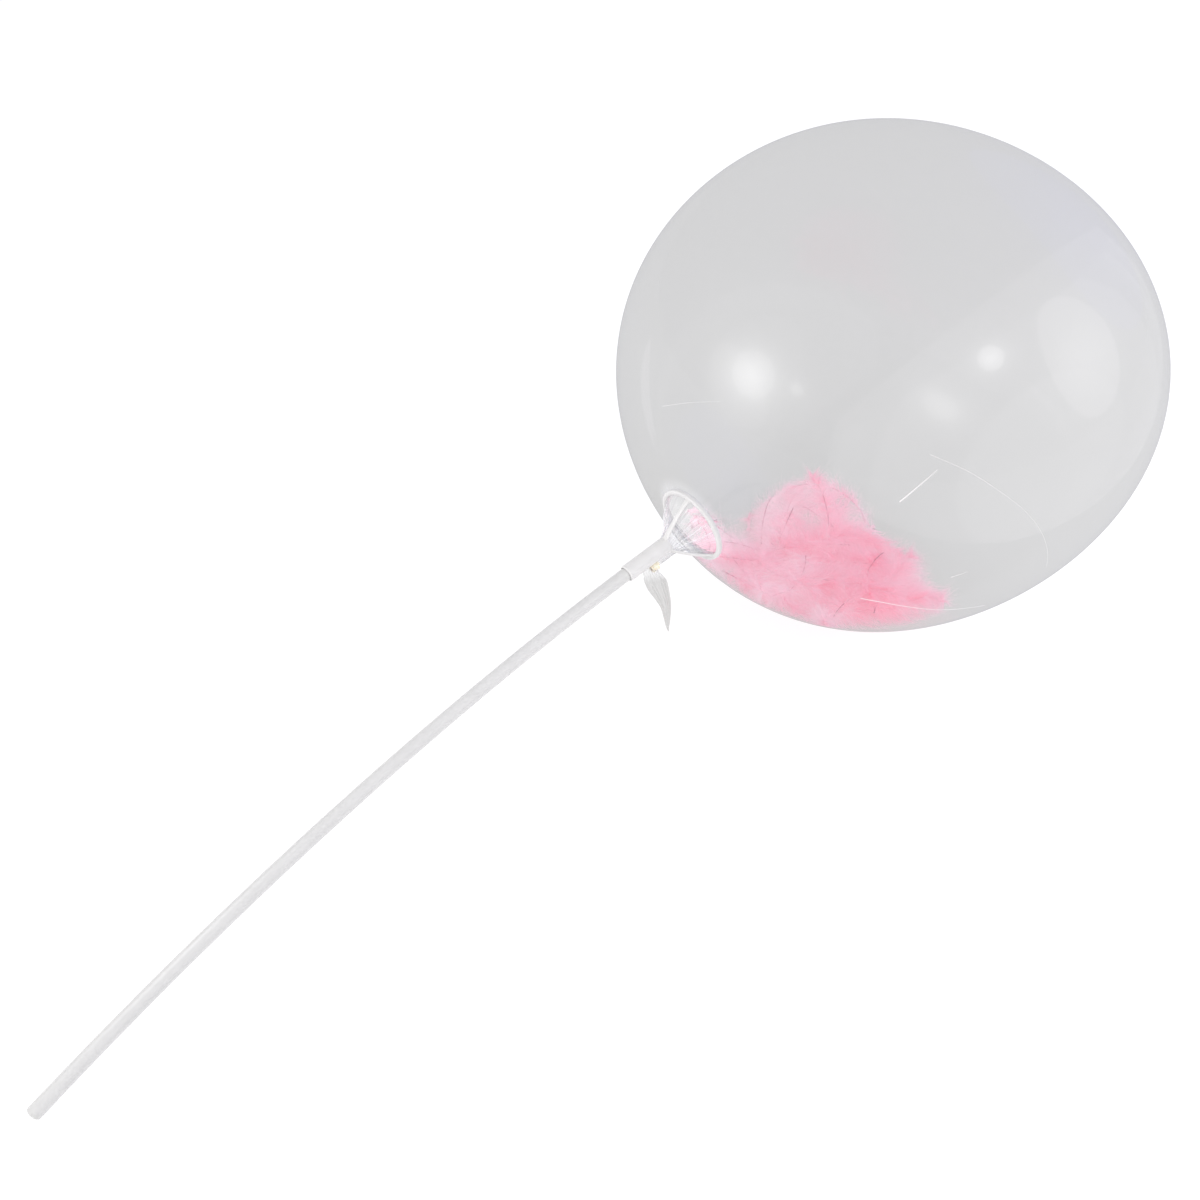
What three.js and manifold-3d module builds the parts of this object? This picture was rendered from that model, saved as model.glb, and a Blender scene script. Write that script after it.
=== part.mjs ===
// A clear bubble balloon on a bent tube, lying loose with its bulb and its tube's end on the floor.
// Millimetres, +Z up. The origin is on the bulb's small flat resting spot, below its middle, and +X runs
// from the tube's loose end towards the bulb's crown.

import * as THREE from 'three';
import { mergeVertices } from 'three/addons/utils/BufferGeometryUtils.js';
import Module from 'manifold-3d';

const wasm = await Module();
wasm.setup();

// General
const pieceGap = 0.3; // air left between two pieces that touch
const fullTurn = 2 * Math.PI;
const floorBlock = 2000; // side of the block that trims the bulb at the floor

// Bulb of clear film, nearly round, with its neck at the back
const bulbHalfLength = 277.1;
const bulbHalfWidth = 278.7;
const bulbHalfHeight = 252.9;
const bulbFlatDepth = 1.5; // how much of the bulb's underside the floor presses flat
const poleSwell = [-0.0466, -0.0282, -0.0196]; // second, third and fourth order, along the neck's axis
const neckShoulder = 0.0065; // the film swells a little towards the neck
const neckShoulderOrder = 12;
const cornerSwell = -0.0122; // three soft corners round a slanting axis
const cornerAxis = new THREE.Vector3(-0.705, -0.437, 0.557).normalize();
const cornerTurn = 0.4246; // radians from the level direction beside the corner axis
const bulbSegments = 46;
const bulbRings = 28;

// Tube, a hollow stick that sags in one long bend
const stickLength = 700;
const stickInserted = 28;
const stickRadius = 6.7;
const stickWall = 1.2;
const stickBendRadius = 3070;
const stickBendYaw = THREE.MathUtils.degToRad(-20.2); // turn of the bend's plane from straight down
const stickSides = 20;
const stickSteps = 24;

// Cup: a socket for the tube, three arms and the ring that holds the bulb
const socketLength = 54;
const socketWall = 1.35;
const socketEndWall = 3;
const socketStopRadius = 4.8; // narrower bore past the stop that the tube meets
const socketRimRadius = 0.8;
const cupDepth = 33.8; // from the socket's top to the ring's middle
const cupAside = -4.5; // the cup sits a little beside and below the bulb's middle line
const cupDrop = 4.3;
const ringRadius = 38.8;
const ringHalfWidth = 1.9;
const ringHalfHeight = 2.4;
const ringPress = 0.4; // how far the ring presses into the film
const armCount = 3;
const armWidth = 4.6;
const armThickness = 2.2;
const armBow = 2.6; // outward bow of each arm at mid length
const armRoot = 2; // how far an arm's foot reaches into the socket
const ringSides = 48;
const socketSides = 24;
const armSteps = 8;

// Gathered neck, tie and tail of film
const neckPleats = 8;
const neckPleatDepth = 0.07;
const neckSides = 16;
const neckMouthRadius = 33;
const neckRoot = 8; // how far the neck starts inside the bulb, past the ring's middle
const neckThroatRadius = 5.8; // beside the socket's top
const neckThroatGap = 0.7;
const neckRunRadius = 4.2; // between the throat and the tie
const neckRunGap = 1.4;
const waistRadius = 2.5;
const waistLength = 7;
const waistBack = 22; // from the socket's top back to the tie's middle
const tieLength = 6;
const tieThickness = 1.5;
const tieTurns = 3;
const tieSides = 20;
const waistTurn = THREE.MathUtils.degToRad(255); // side of the socket that the tie lies against
const gapTurn = THREE.MathUtils.degToRad(270); // middle of the gap that the neck leaves through
const tailLength = 72;
const tailWidth = 21;
const tailThickness = 2.6;
const tailSides = 12;
const tailFan = 0.2; // share of the drop over which the tail turns flat to its own plane
const tailSpread = new THREE.Vector3(0.77, -0.64, 0); // level line across the flat tail

const socketRadius = stickRadius + pieceGap + socketWall;
const tieRadius = waistRadius + pieceGap + tieThickness;
const waistOffset = socketRadius + pieceGap + tieRadius;
const throatOffset = socketRadius + neckThroatGap + neckThroatRadius;
const runOffset = socketRadius + neckRunGap + neckRunRadius;

const filmMaterial = new THREE.MeshStandardMaterial({
  color: 0xdfe2e6,
  roughness: 0.08,
  metalness: 0,
  transparent: true,
  opacity: 0.3,
});
const cupMaterial = new THREE.MeshStandardMaterial({ color: 0xe9e6e6, roughness: 0.4, metalness: 0 });
const stickMaterial = new THREE.MeshStandardMaterial({ color: 0xe6e5e6, roughness: 0.35, metalness: 0 });
const tieMaterial = new THREE.MeshStandardMaterial({ color: 0xe2d8c2, roughness: 0.6, metalness: 0 });

// Solids: closed meshes joined and cut, then turned back into three.js geometry

function toSolid(geometry) {
  const bare = geometry.clone();
  bare.deleteAttribute('normal');
  bare.deleteAttribute('uv');
  const merged = mergeVertices(bare, 1e-3);
  const mesh = new wasm.Mesh({
    numProp: 3,
    vertProperties: new Float32Array(merged.attributes.position.array),
    triVerts: new Uint32Array(merged.index.array),
  });
  mesh.merge();
  return new wasm.Manifold(mesh);
}

function toGeometry(solid) {
  const mesh = solid.getMesh();
  const geometry = new THREE.BufferGeometry();
  geometry.setAttribute('position', new THREE.BufferAttribute(mesh.vertProperties, 3));
  geometry.setIndex(new THREE.BufferAttribute(mesh.triVerts, 1));
  geometry.computeVertexNormals();
  return geometry;
}

// A closed body through rings of points, all with the same number of points, with flat ends
function loft(rings) {
  const sides = rings[0].length;
  const points = rings.flat();
  const faces = [];
  for (let ring = 0; ring + 1 < rings.length; ring += 1) {
    for (let side = 0; side < sides; side += 1) {
      const next = (side + 1) % sides;
      const here = ring * sides;
      const there = here + sides;
      faces.push(here + side, here + next, there + side);
      faces.push(here + next, there + next, there + side);
    }
  }
  const last = (rings.length - 1) * sides;
  for (const [start, outwards] of [[0, false], [last, true]]) {
    const middle = points.length;
    const centre = new THREE.Vector3();
    for (let side = 0; side < sides; side += 1) {
      centre.addScaledVector(points[start + side], 1 / sides);
    }
    points.push(centre);
    for (let side = 0; side < sides; side += 1) {
      const next = (side + 1) % sides;
      const edge = outwards ? [start + side, start + next] : [start + next, start + side];
      faces.push(middle, ...edge);
    }
  }
  const geometry = new THREE.BufferGeometry();
  geometry.setAttribute('position', new THREE.Float32BufferAttribute(points.flatMap((p) => p.toArray()), 3));
  geometry.setIndex(faces);
  return geometry;
}

// Bulb's shape: how far its film stands out in one direction from its centre

function filmPoint(direction, neckAxis) {
  const along = direction.dot(neckAxis);
  const [second, third, fourth] = poleSwell;
  const poles = second * (1.5 * along ** 2 - 0.5)
    + third * (2.5 * along ** 3 - 1.5 * along)
    + fourth * (4.375 * along ** 4 - 3.75 * along ** 2 + 0.375);
  const level = new THREE.Vector3().crossVectors(cornerAxis, new THREE.Vector3(0, 0, 1)).normalize();
  const slanted = new THREE.Vector3().crossVectors(cornerAxis, level);
  const across = new THREE.Vector2(direction.dot(level), direction.dot(slanted));
  const corners = cornerSwell * across.length() ** 3 * Math.cos(3 * (across.angle() - cornerTurn));
  const shoulder = neckShoulder * ((1 - along) / 2) ** neckShoulderOrder;
  const swell = 1 + poles + corners + shoulder;
  return direction.clone().multiply(new THREE.Vector3(bulbHalfLength, bulbHalfWidth, bulbHalfHeight))
    .multiplyScalar(swell);
}

function bulbShell(neckAxis) {
  const geometry = new THREE.SphereGeometry(1, bulbSegments, bulbRings);
  geometry.applyQuaternion(new THREE.Quaternion().setFromUnitVectors(new THREE.Vector3(0, 1, 0), neckAxis));
  const position = geometry.attributes.position;
  const direction = new THREE.Vector3();
  for (let index = 0; index < position.count; index += 1) {
    direction.fromBufferAttribute(position, index).normalize();
    const point = filmPoint(direction, neckAxis);
    position.setXYZ(index, point.x, point.y, point.z);
  }
  return geometry;
}

// Distance from the bulb's centre back to its film, measured along the neck's axis on a circle of the
// given radius whose middle is set off from the bulb's middle line
function filmDistance(neckAxis, upwards, level, offset, radius) {
  const samples = 12;
  let total = 0;
  for (let sample = 0; sample < samples; sample += 1) {
    const turn = (sample / samples) * fullTurn;
    const side = level.clone().multiplyScalar(Math.cos(turn)).addScaledVector(upwards, Math.sin(turn));
    let low = 0;
    let high = 1;
    for (let step = 0; step < 30; step += 1) {
      const lean = (low + high) / 2;
      const direction = neckAxis.clone().multiplyScalar(-1).addScaledVector(side, lean).normalize();
      const point = filmPoint(direction, neckAxis);
      const reach = point.addScaledVector(neckAxis, -point.dot(neckAxis)).sub(offset).length();
      if (reach < radius) low = lean;
      else high = lean;
    }
    const direction = neckAxis.clone().multiplyScalar(-1).addScaledVector(side, low).normalize();
    total -= filmPoint(direction, neckAxis).dot(neckAxis) / samples;
  }
  return total;
}

// Layout: the neck's axis slopes so that the tube's loose end just meets the floor

class StickCurve extends THREE.Curve {
  constructor(start, away, bendTo) {
    super();
    this.start = start;
    this.away = away;
    this.bendTo = bendTo;
  }

  getPoint(share, target = new THREE.Vector3()) {
    const run = share * stickLength;
    const bent = Math.max(run - stickInserted, 0) / stickBendRadius;
    const forward = Math.min(run, stickInserted) + stickBendRadius * Math.sin(bent);
    return target.copy(this.start)
      .addScaledVector(this.away, forward)
      .addScaledVector(this.bendTo, stickBendRadius * (1 - Math.cos(bent)));
  }
}

function layoutAt(slope) {
  const neckAxis = new THREE.Vector3(Math.cos(slope), 0, Math.sin(slope));
  const upwards = new THREE.Vector3(-Math.sin(slope), 0, Math.cos(slope));
  const level = new THREE.Vector3(0, 1, 0);
  const shell = bulbShell(neckAxis);
  shell.computeBoundingBox();
  const centre = new THREE.Vector3(0, 0, -shell.boundingBox.min.z - bulbFlatDepth);
  const offset = level.clone().multiplyScalar(cupAside).addScaledVector(upwards, -cupDrop);
  const filmBack = filmDistance(neckAxis, upwards, level, offset, ringRadius);
  const hubBack = filmBack + ringHalfHeight - ringPress + cupDepth;
  const hub = centre.clone().add(offset).addScaledVector(neckAxis, -hubBack);
  const away = neckAxis.clone().negate();
  const bendTo = upwards.clone().multiplyScalar(-Math.cos(stickBendYaw))
    .addScaledVector(level, Math.sin(stickBendYaw));
  const stickStart = hub.clone().addScaledVector(away, socketLength - stickInserted);
  const curve = new StickCurve(stickStart, away, bendTo);
  const tipWay = curve.getTangent(1);
  const tipLow = curve.getPoint(1).z - stickRadius * Math.hypot(tipWay.x, tipWay.y);
  return { neckAxis, upwards, level, shell, centre, hub, curve, tipLow };
}

function restingLayout() {
  let low = 0;
  let high = 0.6;
  for (let step = 0; step < 40; step += 1) {
    const slope = (low + high) / 2;
    if (layoutAt(slope).tipLow > 0) low = slope;
    else high = slope;
  }
  return layoutAt(low);
}

const layout = restingLayout();

// A point in the cup's own frame: forward of the socket's top, and out from its axis at a turn
function cupPoint(forward, outward = 0, turn = 0) {
  return layout.hub.clone()
    .addScaledVector(layout.neckAxis, forward)
    .addScaledVector(layout.level, outward * Math.cos(turn))
    .addScaledVector(layout.upwards, outward * Math.sin(turn));
}

// Turns a lathe's body, spun about Y, onto the cup's axis
function ontoCupAxis(geometry) {
  const basis = new THREE.Matrix4().makeBasis(layout.level, layout.neckAxis, layout.upwards.clone().negate());
  basis.setPosition(layout.hub);
  return geometry.applyMatrix4(basis);
}

// Cup, which can be grown by a margin to cut room for itself in the film

function ringSolid(grow) {
  const profile = [];
  const corners = 10;
  for (let corner = 0; corner <= corners; corner += 1) {
    const turn = (corner / corners) * fullTurn;
    profile.push(new THREE.Vector2(
      ringRadius + (ringHalfWidth + grow) * Math.cos(turn),
      cupDepth + (ringHalfHeight + grow) * Math.sin(turn),
    ));
  }
  return toSolid(ontoCupAxis(new THREE.LatheGeometry(profile, ringSides)));
}

function socketBody(grow) {
  const outer = socketRadius + grow;
  const profile = [
    [0, -socketLength - grow],
    [outer - socketRimRadius, -socketLength - grow],
    [outer, -socketLength - grow + socketRimRadius],
    [outer, grow - socketRimRadius],
    [outer - socketRimRadius, grow],
    [0, grow],
  ];
  const points = profile.map(([outward, forward]) => new THREE.Vector2(outward, forward));
  return toSolid(ontoCupAxis(new THREE.LatheGeometry(points, socketSides)));
}

function socketBore() {
  const mouth = -socketLength - 1;
  const stop = -socketLength + stickInserted + pieceGap;
  const boreRadius = stickRadius + pieceGap;
  const profile = [
    [0, mouth],
    [boreRadius, mouth],
    [boreRadius, stop],
    [socketStopRadius, stop],
    [socketStopRadius, -socketEndWall],
    [0, -socketEndWall],
  ];
  const points = profile.map(([outward, forward]) => new THREE.Vector2(outward, forward));
  return toSolid(ontoCupAxis(new THREE.LatheGeometry(points, socketSides)));
}

function armSolid(turn, grow) {
  const footOut = socketRadius - armThickness / 2;
  const path = (share) => new THREE.Vector2(
    THREE.MathUtils.lerp(footOut, ringRadius, share) + armBow * Math.sin(Math.PI * share),
    THREE.MathUtils.lerp(-armRoot, cupDepth, share),
  );
  const halfWidth = armWidth / 2 + grow;
  const halfThick = armThickness / 2 + grow;
  const bevel = halfThick * 0.4;
  const section = [
    [halfWidth - bevel, halfThick],
    [halfWidth, halfThick - bevel],
    [halfWidth, bevel - halfThick],
    [halfWidth - bevel, -halfThick],
    [bevel - halfWidth, -halfThick],
    [-halfWidth, bevel - halfThick],
    [-halfWidth, halfThick - bevel],
    [bevel - halfWidth, halfThick],
  ];
  const sideways = layout.level.clone().multiplyScalar(-Math.sin(turn))
    .addScaledVector(layout.upwards, Math.cos(turn));
  const rings = [];
  for (let step = 0; step <= armSteps; step += 1) {
    const share = step / armSteps;
    const here = path(share);
    const run = path(share + 0.01).sub(path(share - 0.01)).normalize();
    rings.push(section.map(([across, out]) => cupPoint(
      here.y - out * run.x,
      here.x + out * run.y,
      turn,
    ).addScaledVector(sideways, across)));
  }
  return toSolid(loft(rings));
}

function cupSolid(grow) {
  let solid = ringSolid(grow).add(socketBody(grow));
  for (let arm = 0; arm < armCount; arm += 1) {
    const turn = Math.PI / 2 + (arm / armCount) * fullTurn;
    solid = solid.add(armSolid(turn, grow));
  }
  return solid;
}

// Neck of gathered film: from the bulb, out through the gap between two arms and back under the socket

function neckRings() {
  const beforeWaist = -waistBack + waistLength / 2;
  const afterWaist = -waistBack - waistLength / 2;
  const stations = [
    { forward: cupDepth + neckRoot, outward: 0, turn: gapTurn, radius: neckMouthRadius },
    { forward: cupDepth, outward: 0, turn: gapTurn, radius: neckMouthRadius - 1 },
    { forward: cupDepth * 0.72, outward: 1, turn: gapTurn, radius: neckMouthRadius * 0.74 },
    { forward: cupDepth * 0.46, outward: 4, turn: gapTurn, radius: neckMouthRadius * 0.5 },
    { forward: cupDepth * 0.22, outward: 9.5, turn: gapTurn, radius: neckMouthRadius * 0.29 },
    { forward: cupDepth * 0.02, outward: throatOffset, turn: gapTurn, radius: neckThroatRadius },
    { forward: -cupDepth * 0.27, outward: runOffset, turn: (gapTurn + waistTurn) / 2, radius: neckRunRadius },
    { forward: beforeWaist, outward: waistOffset, turn: waistTurn, radius: waistRadius },
    { forward: afterWaist, outward: waistOffset, turn: waistTurn, radius: waistRadius },
  ];
  const path = new THREE.CatmullRomCurve3(
    stations.map(({ forward, outward, turn }) => cupPoint(forward, outward, turn)),
  );
  return stations.map(({ radius }, index) => {
    const share = index / (stations.length - 1);
    const atWaist = index >= stations.length - 2;
    const way = atWaist ? layout.neckAxis.clone().negate() : path.getTangent(share);
    const centre = path.getPoint(share);
    const across = new THREE.Vector3().crossVectors(way, layout.level).normalize();
    const beside = new THREE.Vector3().crossVectors(way, across);
    const ring = [];
    for (let side = 0; side < neckSides; side += 1) {
      const turn = (side / neckSides) * fullTurn;
      const pleat = index < 2 || atWaist ? 1 : 1 + neckPleatDepth * Math.cos(neckPleats * turn);
      ring.push(centre.clone()
        .addScaledVector(across, radius * pleat * Math.cos(turn))
        .addScaledVector(beside, radius * pleat * Math.sin(turn)));
    }
    return ring;
  });
}

// Tail: the film's cut end, flattened, hanging below the tie and leaning out from the tube

function tailRings() {
  const start = cupPoint(-waistBack - waistLength / 2 + pieceGap, waistOffset, waistTurn);
  const stations = [
    { drop: 0, back: 0, lean: 0, width: 1.7 * waistRadius, thick: 1.7 * waistRadius },
    { drop: 0.015, back: 0.03, lean: 0.012, width: 0.46 * tailWidth, thick: 1.6 * tailThickness },
    { drop: 0.04, back: 0.04, lean: 0.036, width: 0.75 * tailWidth, thick: 1.45 * tailThickness },
    { drop: 0.075, back: 0.034, lean: 0.066, width: 0.94 * tailWidth, thick: 1.3 * tailThickness },
    { drop: 0.22, back: 0.008, lean: 0.13, width: tailWidth, thick: tailThickness },
    { drop: 0.37, back: -0.008, lean: 0.232, width: 0.78 * tailWidth, thick: tailThickness },
    { drop: 0.51, back: -0.01, lean: 0.312, width: 0.54 * tailWidth, thick: 0.9 * tailThickness },
    { drop: 0.71, back: -0.005, lean: 0.362, width: 0.33 * tailWidth, thick: 0.85 * tailThickness },
    { drop: 0.86, back: 0, lean: 0.39, width: 0.17 * tailWidth, thick: 0.7 * tailThickness },
    { drop: 0.93, back: 0, lean: 0.41, width: 0.06 * tailWidth, thick: 0.45 * tailThickness },
  ];
  const centres = stations.map(({ drop, back, lean }) => start.clone().add(
    new THREE.Vector3(-back, -lean, -drop).multiplyScalar(tailLength),
  ));
  const path = new THREE.CatmullRomCurve3(centres);
  return stations.map(({ drop, width, thick }, index) => {
    const first = index === 0;
    const way = first ? layout.neckAxis.clone().negate() : path.getTangent(index / (stations.length - 1));
    const spread = layout.level.clone().negate().lerp(tailSpread, Math.min(drop / tailFan, 1));
    const flat = new THREE.Vector3().crossVectors(way, spread).normalize();
    const wide = new THREE.Vector3().crossVectors(way, flat);
    const ring = [];
    for (let side = 0; side < tailSides; side += 1) {
      const turn = (side / tailSides) * fullTurn;
      ring.push(centres[index].clone()
        .addScaledVector(flat, (thick / 2) * Math.cos(turn))
        .addScaledVector(wide, (width / 2) * Math.sin(turn)));
    }
    return ring;
  });
}

function bubbleSolid() {
  const film = toSolid(layout.shell.translate(layout.centre.x, layout.centre.y, layout.centre.z))
    .add(toSolid(loft(neckRings())))
    .add(toSolid(loft(tailRings())));
  const floor = new THREE.BoxGeometry(floorBlock, floorBlock, floorBlock).translate(0, 0, -floorBlock / 2);
  return film.subtract(cupSolid(pieceGap)).subtract(toSolid(floor));
}

function stickGeometry() {
  const shape = new THREE.Shape().absarc(0, 0, stickRadius, 0, fullTurn);
  shape.holes.push(new THREE.Path().absarc(0, 0, stickRadius - stickWall, 0, fullTurn, true));
  return new THREE.ExtrudeGeometry(shape, {
    curveSegments: stickSides / 2, // a circle gets two points for each
    steps: stickSteps,
    extrudePath: layout.curve,
    bevelEnabled: false,
  });
}

// Tie: one rubber band wound close, so its outside shows a lobe for each turn
function tieGeometry() {
  const inner = waistRadius + pieceGap;
  const start = -waistBack - tieLength / 2;
  const pitch = tieLength / tieTurns;
  const lobePoints = 4;
  const profile = [new THREE.Vector2(inner, start), new THREE.Vector2(inner + tieThickness / 2, start)];
  for (let lobe = 0; lobe < tieTurns; lobe += 1) {
    for (let point = 1; point < lobePoints; point += 1) {
      const turn = (point / lobePoints) * Math.PI;
      profile.push(new THREE.Vector2(
        inner + (tieThickness / 2) * (1 + Math.sin(turn)),
        start + pitch * (lobe + 0.5 - 0.5 * Math.cos(turn)),
      ));
    }
    profile.push(new THREE.Vector2(inner + tieThickness / 2, start + pitch * (lobe + 1)));
  }
  profile.push(new THREE.Vector2(inner, start + tieLength), new THREE.Vector2(inner, start));
  const beside = cupPoint(0, waistOffset, waistTurn).sub(layout.hub);
  return ontoCupAxis(new THREE.LatheGeometry(profile, tieSides)).translate(beside.x, beside.y, beside.z);
}

function namedMesh(name, geometry, material) {
  const mesh = new THREE.Mesh(geometry, material);
  mesh.name = name;
  return mesh;
}

const balloon = new THREE.Group();
balloon.add(
  namedMesh('bubble', toGeometry(bubbleSolid()), filmMaterial),
  namedMesh('cup', toGeometry(cupSolid(0).subtract(socketBore())), cupMaterial),
  namedMesh('stick', stickGeometry(), stickMaterial),
  namedMesh('neck_tie', tieGeometry(), tieMaterial),
);

export default balloon;
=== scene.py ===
import math
import bpy
import numpy as np
from mathutils import Matrix, Vector


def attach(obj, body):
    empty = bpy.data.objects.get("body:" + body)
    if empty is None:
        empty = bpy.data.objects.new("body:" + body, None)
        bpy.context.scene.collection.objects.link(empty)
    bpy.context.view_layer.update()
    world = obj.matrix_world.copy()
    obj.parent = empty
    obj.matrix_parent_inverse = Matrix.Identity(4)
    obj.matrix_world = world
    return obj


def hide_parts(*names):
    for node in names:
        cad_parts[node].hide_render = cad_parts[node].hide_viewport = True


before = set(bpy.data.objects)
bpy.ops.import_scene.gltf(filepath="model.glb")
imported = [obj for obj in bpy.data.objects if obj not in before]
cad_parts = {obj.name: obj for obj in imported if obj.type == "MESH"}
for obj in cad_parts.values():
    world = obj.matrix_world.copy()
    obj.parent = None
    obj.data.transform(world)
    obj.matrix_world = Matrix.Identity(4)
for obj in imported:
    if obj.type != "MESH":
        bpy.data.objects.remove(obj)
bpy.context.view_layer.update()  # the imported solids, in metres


# Small helpers

def unit(vector):
    vector = np.asarray(vector, float)
    return vector / np.linalg.norm(vector, axis=-1, keepdims=True)


def smoothCurve(knots, values, at):
    # a smooth line through values, one for each knot
    knots, values = np.asarray(knots, float), np.asarray(values, float)
    slopes = np.gradient(values, knots, axis=0)
    spot = np.clip(np.searchsorted(knots, at, side="right") - 1, 0, len(knots) - 2)
    span = knots[spot + 1] - knots[spot]
    t = (at - knots[spot]) / span
    if values.ndim > 1:
        t, span = t[:, None], span[:, None]
    return (
        (2 * t**3 - 3 * t**2 + 1) * values[spot]
        + (t**3 - 2 * t**2 + t) * span * slopes[spot]
        + (3 * t**2 - 2 * t**3) * values[spot + 1]
        + (t**3 - t**2) * span * slopes[spot + 1]
    )


def gridFaces(rings, around):
    # quads between neighbouring rings of points
    ring = np.arange(rings - 1)[:, None] * around
    side = np.arange(around)[None, :]
    following = (side + 1) % around
    corners = [ring + side, ring + following, ring + around + following, ring + around + side]
    return np.stack(corners, -1).reshape(-1, 4).tolist()


def meshPiece(name, points, faces, material, slot=None, body="root"):
    mesh = bpy.data.meshes.new(name)
    mesh.from_pydata(np.asarray(points, float).tolist(), [], faces)
    mesh.update()
    mesh.shade_smooth()
    piece = bpy.data.objects.new(name, mesh)
    bpy.context.scene.collection.objects.link(piece)
    mesh.materials.append(material)
    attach(piece, body)
    return piece


def sweepRings(path, section):
    # rings of points square to a path, carried along it without twisting
    path = np.asarray(path, float)
    ways = unit(np.gradient(path, axis=0))
    side = unit(np.cross(ways[0], (0.31, 0.22, 0.92)))
    rings = []
    for index, (place, way) in enumerate(zip(path, ways)):
        side = unit(side - way * (side @ way))
        over = np.cross(way, side)
        flat = section(index / (len(path) - 1))
        rings.append(place + flat[:, :1] * side + flat[:, 1:] * over)
    return rings


def closedTube(rings):
    # a solid through rings, with its two ends filled
    around = len(rings[0])
    points = np.concatenate(rings + [rings[0].mean(0, keepdims=True), rings[-1].mean(0, keepdims=True)])
    faces = gridFaces(len(rings), around)
    last = (len(rings) - 1) * around
    for side in range(around):
        following = (side + 1) % around
        faces.append([following, side, last + around])
        faces.append([last + side, last + following, last + around + 1])
    return points, faces


def fullTurn(count):
    return np.arange(count) / count * 2 * math.pi


def circle(radius, sides):
    turn = fullTurn(sides)
    return np.stack([radius * np.cos(turn), radius * np.sin(turn)], -1)


def squarish(turn, power):
    # across and along a circle that is pushed out towards a square
    return [np.sign(side) * np.abs(side) ** power for side in (np.cos(turn), np.sin(turn))]


# Materials

class Wire:
    # an output of a node, which can be used in sums
    def __init__(self, finish, socket):
        self.finish = finish
        self.socket = socket

    def sum(self, operation, first, second):
        return self.finish.node("ShaderNodeMath", {"operation": operation}, {0: first, 1: second})

    def __add__(self, other):
        return self.sum("ADD", self, other)

    def __radd__(self, other):
        return self.sum("ADD", other, self)

    def __sub__(self, other):
        return self.sum("SUBTRACT", self, other)

    def __rsub__(self, other):
        return self.sum("SUBTRACT", other, self)

    def __mul__(self, other):
        return self.sum("MULTIPLY", self, other)

    def __rmul__(self, other):
        return self.sum("MULTIPLY", other, self)

    def __pow__(self, other):
        return self.sum("POWER", self, other)


class Finish:
    # the nodes of one material, or of the world
    def __init__(self, owner):
        owner.use_nodes = True
        self.owner = owner
        self.nodes = owner.node_tree.nodes
        self.links = owner.node_tree.links
        self.nodes.clear()

    def node(self, kind, settings=None, sockets=None, out=0):
        made = self.nodes.new(kind)
        for key, value in (settings or {}).items():
            setattr(made, key, value)
        for key, value in (sockets or {}).items():
            if isinstance(value, Wire):
                self.links.new(value.socket, made.inputs[key])
            else:
                made.inputs[key].default_value = value
        return Wire(self, made.outputs[out])

    def noise(self, scale, detail, roughness):
        place = self.node("ShaderNodeTexCoord", {}, {}, "Object")
        sockets = {"Vector": place, "Scale": scale, "Detail": detail, "Roughness": roughness}
        return self.node("ShaderNodeTexNoise", {}, sockets)

    def blend(self, share, first, second):
        sockets = {0: share, 6: first, 7: second}
        return self.node("ShaderNodeMix", {"data_type": "RGBA"}, sockets, 2)

    def mixed(self, share, first, second):
        return self.node("ShaderNodeMixShader", {}, {0: share, 1: first, 2: second})

    def attribute(self, name):
        return self.node("ShaderNodeAttribute", {"attribute_name": name}, {}, "Fac")

    def bump(self, height, strength, distance):
        return self.node("ShaderNodeBump", {}, {"Height": height, "Strength": strength, "Distance": distance})

    def end(self, surface, kind="ShaderNodeOutputMaterial"):
        output = self.nodes.new(kind)
        self.links.new(surface.socket, output.inputs["Surface"])
        return self.owner


def newFinish(name):
    return Finish(bpy.data.materials.new(name))


filmLook = {
    "passing": (0.785, 0.784, 0.780, 1),  # what one layer lets through
    "passingAtEdge": (0.72, 0.72, 0.73, 1),
    "passingGathered": (0.95, 0.95, 0.95, 1),
    "edgePower": 10,
    "gloss": 0.07,
    "glossAtEdge": 0.10,
    "glossGathered": 0.16,
    "glossPower": 4,
    "sharpness": 0.045,  # roughness of the sharp part of the gloss, and of its soft part
    "softness": 0.26,
    "softShare": 0.38,
    "haze": 0.01,
    "hazeScale": 34.0,
    "waveScale": 14.0,
    "waveStrength": 0.03,
    "waveDepth": 0.002,
    # white painted on the film where it is gathered and along its pleat ridges, standing in for sheen and
    # glints
    "paintedSheen": (0.93, 0.93, 0.94, 1),
    "paintedSheenGathered": 0.05,  # painted sheen: how white gathered film is painted, and how white its creases, as painted glints
    "paintedGlintCrease": 0.40,
}


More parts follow.
